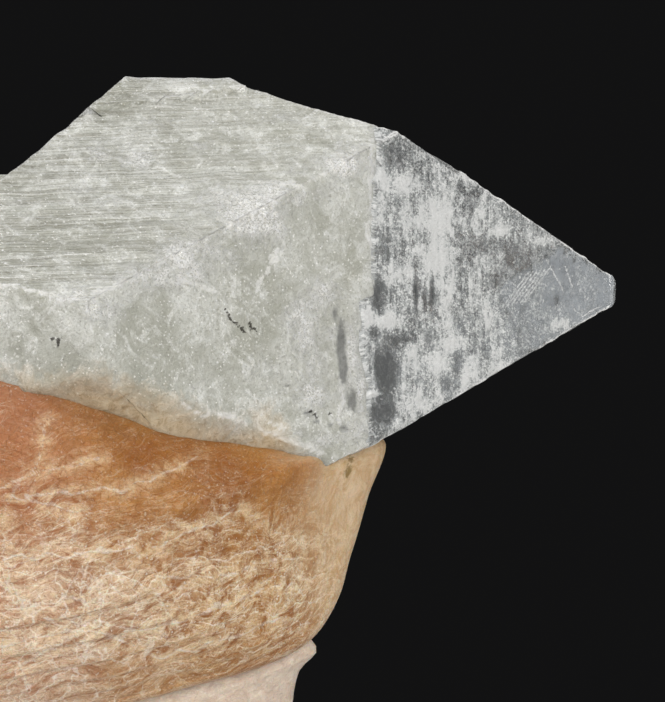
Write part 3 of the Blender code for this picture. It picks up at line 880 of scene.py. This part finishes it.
def veil(rng):
    """One veil: a thin lens with a ragged outline. Nearly all centres lie in the tip's front half.

    Its outline is an ellipse that swells and shrinks in 3 and 7 waves round it, kept inside the tip. Its
    half thickness is the most times sqrt(1 - share**2), at a share of the way from the centre to the
    outline, and ripples bend it.
    """
    x = PARTING + VEIL_START + VEIL_REACH * rng.power(0.8)
    room = VEIL_ROOM * -x
    y, z = rng.uniform(-0.95, 0.1) * room, rng.uniform(-0.85, 0.85) * room
    half = np.array([rng.uniform(1.0, 4.0), rng.uniform(0.8, 3.4)])
    turns = np.linspace(0, 2 * pi, VEIL_COLUMNS, endpoint=False)
    share = np.concatenate([np.linspace(0.1, 1, VEIL_ROWS), np.linspace(1, 0.1, VEIL_ROWS)[1:]])[:, None]
    ragged = 1 + 0.25 * np.sin(3 * turns + rng.uniform(0, 6)) + 0.15 * np.sin(7 * turns + rng.uniform(0, 6))
    outline = np.stack([y + half[0] * share * np.cos(turns) * ragged,
                        z + half[1] * share * np.sin(turns) * ragged], -1)
    outline = np.clip(outline, -0.93 * room, 0.93 * room)
    front_or_back = np.sign(VEIL_ROWS - 0.5 - np.arange(len(share)))[:, None]
    thick = VEIL_HALF_THICKNESS * np.sqrt(1 - share**2) * front_or_back
    height = x + thick + 0.1 * ripple(outline, 2.5, int(rng.integers(1000)))
    return np.concatenate([height[..., None], outline], -1)


def veil_finish():
    """A frosted crack: pale, and clear between the streaks that cross it."""
    material, tree, shader = new_material(
        "cleavage_veil", Base_Color=(0.86, 0.88, 0.88, 1), Roughness=0.35, IOR=1.5
    )
    x, y, z = parts_of(field(tree, "lattice", True))
    turned_up = add(tree, "CombineXYZ", X=z, Y=y, Z=x)
    lines = use(streaks, turned_up, Length=2.5, Width=0.5, From=0.42, To=0.6)
    fill(shader.inputs["Alpha"], ramp(lines, 0.0, 1.0, 0.05, 0.85))
    return material


rng = np.random.default_rng(5)
veil_material = veil_finish()
veils = []
for index in range(VEIL_COUNT):
    lattice = veil(rng)
    rings = in_world(lattice)
    ends = np.stack([rings[0].mean(axis=0), rings[-1].mean(axis=0)])
    veils.append(shell(f"veil_{index}", rings, ends, {"lattice": lattice}, veil_material))
with bpy.context.temp_override(active_object=veils[0], selected_editable_objects=veils):
    bpy.ops.object.join()
veils[0].name = "cleavage_veils"
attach(veils[0], "root")

# ---------------------------------------------------------------------------------- stilbite sheaf
# A sheaf of curved, pearly stilbite blades grown side by side: the broad front one, a low one under it
# and five behind. Each thickens from a worn rim in terraces, and is full of healed cracks.

TERRACE_STEP = 0.32
LINE_WIDTH = 0.9
RIM_WAVES, RIM_WAVE_DEPTH = 11, 0.008  # lobes round the rim, and their height as a share of its distance
# Bright growth lines and healed cracks on the front blade, as X and Z points in mm.
GROWTH_LINES = (
    ((0, 21), (2, 20.5), (5.5, 20.5), (8, 21.5), (10.5, 21.5)),
    ((-2.5, 16.5), (2, 17.5), (6.5, 19), (11, 20)),
    ((-3, 17), (-1, 16), (1, 15), (5, 16), (9, 17.5)),
    ((-9.5, 22), (-6, 22), (-1, 22.5), (0, 21.5)),
    ((-5, 18.5), (-5.5, 19.5), (-4, 19), (-3.5, 17), (-5, 17), (-6.5, 18)),
    ((-9.5, 24), (-8.5, 26.5), (-7, 28.5), (-6.5, 31)),
    ((-9.5, 26.5), (-7.5, 27.5), (-3, 28.5)), ((-8, 26), (-1, 26.5), (3.5, 28.5)),
    ((0.5, 22.5), (6.5, 25), (8, 24), (9, 23)), ((12, 23), (12, 21)), ((10.5, 23), (10.5, 22.5)),
    ((-9, 21), (-8, 18.5)), ((-9.5, 16), (-5.5, 17), (-3, 17)), ((-9.5, 14), (-5, 16.5)),
    ((0.5, 19.5), (1.5, 18)), ((-9, 26), (-4.5, 25)),
)
# The outline and centre of a blade are X and Z points. Its middle surface lies at front along Y, bends
# back on both sides of bend_at along X, and tilts with height. Terraces are shares of the way out, half is
# half its thickness, and grid is its columns and rows.
FRONT_BLADE = {
    "outline": (
        (12.5, 29.6), (8.0, 29.9), (2.0, 30.9), (-4.0, 33.7), (-10.0, 36.0), (-21.0, 36.0), (-30.0, 30.0),
        (-32.4, 21.0), (-29.0, 13.0), (-20.0, 9.6), (-8.0, 10.6), (2.0, 12.6), (6.5, 13.6), (9.6, 14.9),
        (11.6, 16.4), (13.2, 18.8), (13.9, 21.6), (14.8, 25.4), (16.3, 29.4),
    ),
    "centre": (-7.0, 22.5), "front": -12.3, "bend": 0.022, "bend_at": -9.5, "tilt": 0.0, "half": 7.2,
    "terraces": (0.42, 0.58, 0.71, 0.81, 0.89), "grid": (300, 152), "lines": GROWTH_LINES,
    "spots": (
        (14.3, 29.0, 0.25, 0.3, 1.0), (13.8, 28.3, 0.3, 0.4, 0.9), (13.6, 27.5, 0.35, 0.4, 0.8),
        (13.3, 27.0, 0.3, 0.25, 0.9), (13.1, 24.9, 0.35, 0.25, 0.9), (10.4, 24.6, 0.2, 0.15, 0.8),
    ),
}
LOW_BLADE = {
    "outline": (
        (4.0, 19.5), (-10.0, 19.0), (-24.0, 14.0), (-27.5, 5.0), (-22.0, -2.0), (-8.0, -3.5), (7.0, -2.0),
        (8.6, 3.0), (9.5, 9.0), (10.2, 13.2), (11.0, 15.4),
    ),
    "centre": (-8.0, 8.0), "front": -4.5, "bend": 0.012, "bend_at": -8.0, "tilt": 0.0, "half": 6.5,
    "terraces": (0.6, 0.82), "grid": (220, 70),
}
# Place along Y, half thickness, middle and half width along X, top, and how far the top leans.
REAR_BLADES = (
    (-2.2, 4.6, -12.0, 19.5, 31.5, 6.0),
    (2.6, 4.2, -10.5, 18.5, 33.0, 8.0),
    (7.0, 4.4, -12.5, 18.0, 32.0, 4.0),
    (11.4, 4.2, -10.5, 16.0, 33.5, 8.0),
    (15.0, 3.4, -13.5, 12.5, 29.0, 2.0),
)
REAR_FOOT = -5.0
REAR_POINTS = 16
REAR_SQUARENESS = 0.7  # 1 is an ellipse, and less is nearer a rectangle
FAN_MIDDLE, FAN_TILT = 5, 0.006  # where along Y a blade stands upright, and the tilt for each mm from there


def closed_curve(points, turns):
    """Points of a smooth closed curve through the given ones, at these shares of one turn.

    It is a Catmull-Rom curve: from point to point a cubic, whose slope at each of them is that of the
    line between the point's two neighbours.
    """
    points = np.array(points, float)
    count = len(points)
    steps = np.hypot(*(np.roll(points, -1, axis=0) - points).T)
    ends = np.concatenate([[0], np.cumsum(steps)]) / steps.sum()
    index = np.clip(np.searchsorted(ends, turns % 1, side="right") - 1, 0, count - 1)
    share = ((turns % 1 - ends[index]) / (ends[index + 1] - ends[index]))[:, None]
    p0, p1, p2, p3 = (points[(index + shift) % count] for shift in (-1, 0, 1, 2))
    return 0.5 * (
        2 * p1 + (p2 - p0) * share + (2 * p0 - 5 * p1 + 4 * p2 - p3) * share**2
        + (3 * p1 - p0 - 3 * p2 + p3) * share**3
    )


def rear_blade(place, half, middle, half_width, top, lean):
    """A blade behind the front one: a rounded, leaning oblong that fans a little from its neighbours.

    Its outline is a superellipse, half the width or height times the cosine or sine of the angle to a
    power under 1, and its points are shifted along X by the lean in step with their height.
    """
    angle = np.linspace(0, 2 * pi, REAR_POINTS, endpoint=False)
    height = (top - REAR_FOOT) / 2
    rise = np.sign(np.sin(angle)) * np.abs(np.sin(angle)) ** REAR_SQUARENESS
    across = np.sign(np.cos(angle)) * np.abs(np.cos(angle)) ** REAR_SQUARENESS
    outline = np.stack([middle + half_width * across + lean * rise / 2, REAR_FOOT + height * (1 + rise)], 1)
    return {
        "outline": outline, "centre": (middle, REAR_FOOT + height), "front": place, "bend": 0.004,
        "bend_at": middle, "tilt": (place - FAN_MIDDLE) * FAN_TILT, "half": half, "terraces": (0.62, 0.84),
        "grid": (180, 44),
    }


def blade(shape, seed):
    """Rings of a blade in world mm, from the middle of its front round its rim to the middle of its back.

    The rim is a smooth closed curve. A point lies at a share of the way from the centre to the rim, and
    the blade bulges from a bent middle surface by half its thickness times sqrt(1 - share**2.4), less a
    step at each terrace.
    """
    columns, rows = shape["grid"]
    turns = np.arange(columns) / columns
    share = np.sin(np.linspace(0, pi / 2, rows + 1)[1:]) ** 0.9
    share = np.concatenate([share, share[-2::-1]])[:, None]
    side = np.where(np.arange(2 * rows - 1) < rows, 1.0, -1.0)[:, None]
    centre = np.array(shape["centre"])
    rim = closed_curve(shape["outline"], turns) - centre
    length = np.hypot(*rim.T)
    fade = np.clip(0.55 - 0.75 * rim[:, 1] / length, 0, 1)
    wavy = 0.004 * ripple(np.stack([np.cos(2 * pi * turns), np.sin(2 * pi * turns)], -1), 0.35, seed)
    steps = sum(np.clip((share - edge - wavy) / 0.012 + 0.5, 0, 1) for edge in shape["terraces"])
    steps = steps * TERRACE_STEP * fade * np.clip((0.985 - share) / 0.03, 0, 1)
    bulge = (shape["half"] - steps) * np.sqrt(1 - share**2.4)
    rim = rim * (1 + RIM_WAVE_DEPTH * np.sin(2 * pi * RIM_WAVES * turns))[:, None]
    place = centre + rim * share[..., None]
    inward = (1 - share) * length
    growth = 0.06 * ledges(inward + 0.35 * ripple(place, 7.0, seed + 1), 1.15, seed + 2)
    growth += 0.03 * ledges(inward + 0.2 * ripple(place, 5.0, seed + 3), 0.45, seed + 4)
    rough = 0.05 * ripple(place, 2.2, seed + 5) + 0.02 * ripple(place, 0.9, seed + 6)
    growth = growth * np.clip((share - 0.15) / 0.2, 0, 1)
    bulge = bulge - (growth + rough + 0.1) * np.clip(inward / 1.5, 0, 1)
    middle = shape["front"] + shape["bend"] * (place[..., 0] - shape["bend_at"]) ** 2
    middle = middle + shape["tilt"] * (place[..., 1] - centre[1])
    depth = middle - side * bulge
    points = np.stack([place[..., 0], depth, np.maximum(place[..., 1], 0)], -1)
    fields = {
        "rim": np.exp(-inward / 2.0),
        "spot": patched(points, shape.get("spots", ())) * (side > 0),
        "line": near_lines(points, shape.get("lines", ()), LINE_WIDTH) * (side > 0),
    }
    return points, np.stack([points[0].mean(axis=0), points[-1].mean(axis=0)]), fields


def turned(vector, degrees, kind="POINT", **inputs):
    """A vector turned about Y, as seen from the front."""
    return add(vector.tree, "Mapping", settings={"vector_type": kind}, Vector=vector,
               Rotation=(0, radians(degrees), 0), **inputs)


def stilbite_finish(name, pale_share):
    """Stilbite: peach to orange, cloudy, with a pearly gloss, white healed cracks and painted glints of
    glittering flakes.

    The low part is laced with pale hairs, torn growth bands and a net of cracks, the left is pinkish, the
    top greyish, and the right rim tan. pale_share is how much of the paler blade's colour lies over all.
    """
    material, tree, shader = new_material(
        name, Roughness=0.35, IOR=1.5, Subsurface_Weight=0.35, Subsurface_Scale=0.0015,
        Subsurface_Radius=(1.0, 0.5, 0.25), Specular_IOR_Level=0.3,
    )
    place = scaled(add(tree, "TexCoord", "Object"), 1 / MM)
    x, _, z = parts_of(place)
    rim, line, spot = (field(tree, label) for label in ("rim", "line", "spot"))
    clouds = noise(place, 0.13, 4.0, 0.6)
    swirl = noise(place, 0.22, 2.0, 0.5, out="Color")
    wound = moved(place, scaled(swirl, 4.0))
    mottle = noise(turned(wound, -17, "TEXTURE", Scale=(3.0, 1.0, 0.8)), 1.2, 6.0, 0.7, 0.3)
    dust = noise(place, 5.0, 3.0, 0.8)
    net = use(cracks, place, Cell=2.6, Width=0.1, Warp=1.0)
    small_net = use(cracks, place, Cell=0.5, Width=0.06, Warp=1.0)
    glitter = use(grains, place, Size=0.11, Cover=0.05)
    dark = use(grains, place, Size=0.14, Cover=0.03)
    low = ramp(z + clouds * 9.0, 31.5, 23.0) * ramp(z, 14.0, 18.5, 0.45, 1.0)
    lower_left = ramp(x + (clouds - 0.5) * 14.0, 5.0, -5.0) * ramp(z, 24.5, 19.5)
    laced = (0.1 + low) * ramp(mottle, 0.6, 0.4, 0.0, 0.35) + lower_left * 0.5
    pale = (0.90, 0.72, 0.47)
    colour = layered(
        blend(ramp(clouds, 0.38, 0.62), (0.30, 0.10, 0.014), (0.45, 0.205, 0.048)),
        (ramp(mottle, 0.42, 0.68, 0.0, 0.55), (0.26, 0.10, 0.028)),
        (ramp(z + mottle * 3.0, 31.0, 35.0, 0.0, 0.6), (0.22, 0.125, 0.05)),
        (ramp(x + mottle * 4.0, 0.0, -6.0, 0.0, 0.65), (0.40, 0.15, 0.07)),
        (ramp(mottle, 0.62, 0.35) * low * 0.6, (0.68, 0.46, 0.23)),
        (small_net * ramp(mottle, 0.6, 0.4) * (low * 0.7), pale),
        (lower_left * ramp(mottle, 0.6, 0.42, 0.15, 0.6), (0.80, 0.63, 0.50)),
        (net * laced, (0.97, 0.91, 0.82)),
    )
    bunched = ramp(low, 0.0, 1.0, 0.18, 1.0) * ramp(mottle, 0.6, 0.42, 0.3, 1.0)
    for turn, length, width, start, most in (
        (8, 3.0, 0.1, 0.55, 0.95), (24, 4.0, 0.09, 0.56, 0.95),
        (70, 1.2, 0.08, 0.58, 0.7), (-35, 1.0, 0.07, 0.58, 0.7),
    ):
        along, depth, up = parts_of(turned(wound, turn))
        level = add(tree, "CombineXYZ", X=along, Y=up, Z=depth)
        hair = use(streaks, level, Length=length, Width=width, From=start, To=start + 0.14)
        colour = blend(hair * (bunched * most), colour, (0.98, 0.87, 0.68))
    torn = ramp(mottle, 0.62, 0.4) * (0.06 + low)
    raised = turned(place, 12)
    rising = {"wave_type": "BANDS", "bands_direction": "Z", "wave_profile": "SAW"}
    for scale, distortion, start, most in ((0.14, 9.0, 0.94, 0.85), (0.42, 14.0, 0.86, 0.6)):
        band = add(tree, "TexWave", "Fac", rising, Vector=raised, Scale=scale, Distortion=distortion,
                   Detail=4.0, Detail_Scale=1.3)
        colour = layered(
            colour,
            (ramp(band, 0.5, start, 0.0, 0.25) * torn, pale),
            (ramp(band, start, 0.985, 0.0, most) * torn, (0.99, 0.95, 0.87)),
        )
    drawn = ramp(line + (mottle - 0.5) * 0.35 + (dust - 0.5) * 0.25, 0.88, 0.97)
    drawn = drawn * ramp(mottle, 0.42, 0.6, 0.9, 0.25) * ramp(z, 25.0, 28.0, 1.0, 0.55)
    right = x + (z - 24.0) * 0.2 + (mottle - 0.5) * 4.0
    tan = blend(ramp(mottle, 0.35, 0.6), (0.86, 0.69, 0.48), (0.66, 0.45, 0.25))
    stain = spot + (mottle - 0.5) * 1.5
    colour = layered(
        colour,
        (ramp(line, 0.0, 0.9) * ramp(mottle, 0.6, 0.4) * 0.5, pale),
        (drawn, (0.97, 0.92, 0.83)),
        (ramp(dust, 0.5, 0.72, 0.0, 0.55), (0.24, 0.09, 0.03)),
        # painted glints: sparse bright specks of glittering flakes
        (glitter * ramp(low, 0.0, 1.0, 0.25, 0.8), (0.99, 0.93, 0.84)),
        (dark * 0.55, (0.12, 0.05, 0.02)),
        (ramp(right, 8.5, 13.5) * ramp(rim, 0.02, 0.12, 0.0, 0.85), tan),
        (ramp(stain, 0.5, 0.8, 0.0, 0.75), (0.20, 0.13, 0.03)),
        (ramp(mottle, 0.2, 0.8, pale_share, pale_share * 0.6), (0.86, 0.77, 0.68)),
    )
    fill(shader.inputs["Base Color"], colour)
    fill(shader.inputs["Roughness"], ramp(mottle, 0.3, 0.7, 0.25, 0.5))
    relief(shader, small_net * 0.4 + drawn * 0.6 + mottle * 0.8 + (glitter + dust * 0.5), 0.07)
    return material


peach = stilbite_finish("stilbite_peach", 0.0)
pale_pink = stilbite_finish("stilbite_pale", 0.8)
shapes = {"front_blade": FRONT_BLADE, "low_blade": LOW_BLADE}
shapes.update({f"rear_blade_{index + 1}": rear_blade(*sizes) for index, sizes in enumerate(REAR_BLADES)})
for index, (name, shape) in enumerate(shapes.items()):
    rings, ends, fields = blade(shape, 40 + 10 * index)
    material = pale_pink if name == "low_blade" else peach
    made = shell(f"stilbite_{name}", rings, ends, fields, material)
    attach(made, "root")
    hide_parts("stilbite_sheaf")

# ---------------------------------------------------------------------------------- floor and light
# A plain pale floor disc in a dark room, with four large soft lights. The lights don't show in the
# picture, and only the one behind shines through the clear tip.

FLOOR_RADIUS = 0.17
FLOOR_SIDES = 96
ROOM_COLOUR = (0.0062, 0.0062, 0.0064, 1)

turns = np.arange(FLOOR_SIDES) / FLOOR_SIDES * 2 * pi
floor_mesh = bpy.data.meshes.new("floor")
floor_points = np.stack([FLOOR_RADIUS * np.cos(turns), FLOOR_RADIUS * np.sin(turns), 0 * turns], -1)
floor_mesh.from_pydata(floor_points.tolist(), [], [list(range(FLOOR_SIDES))])
floor = bpy.data.objects.new("floor", floor_mesh)
floor_material, _, _ = new_material("floor_paint", Base_Color=(0.72, 0.71, 0.69, 1), Roughness=0.8)
floor_mesh.materials.append(floor_material)
bpy.context.scene.collection.objects.link(floor)

world = bpy.data.worlds.new("room")
world.use_nodes = True
world.node_tree.nodes["Background"].inputs["Color"].default_value = ROOM_COLOUR
bpy.context.scene.world = world

# Name, place and aim in metres, size, power in watts, and colour.
LIGHTS = (
    ("key", (0.36, -0.50, 0.28), (0.0, 0.0, 0.035), 0.34, 3.4, (1.0, 0.985, 0.96)),
    ("top", (-0.10, -0.12, 0.55), (0.0, 0.0, 0.04), 0.40, 1.6, (1.0, 0.99, 0.97)),
    ("left", (-0.50, -0.40, 0.20), (0.0, 0.0, 0.03), 0.30, 1.2, (1.0, 0.98, 0.95)),
    ("behind", (-0.30, 0.45, 0.12), (0.02, 0.0, 0.04), 0.85, 0.8, (0.93, 0.97, 1.0)),
)
for name, place, aim, size, power, colour in LIGHTS:
    data = bpy.data.lights.new(name, "AREA")
    data.shape = "SQUARE"
    data.size = size
    data.energy = power
    data.color = colour
    light = bpy.data.objects.new(name, data)
    light.location = place
    away = np.array(place) - np.array(aim)
    light.rotation_euler = (np.arccos(away[2] / np.linalg.norm(away)), 0, np.arctan2(away[0], -away[1]))
    light.visible_camera = False
    light.visible_transmission = name == "behind"
    bpy.context.scene.collection.objects.link(light)
bpy.context.scene.view_settings.view_transform = "Standard"
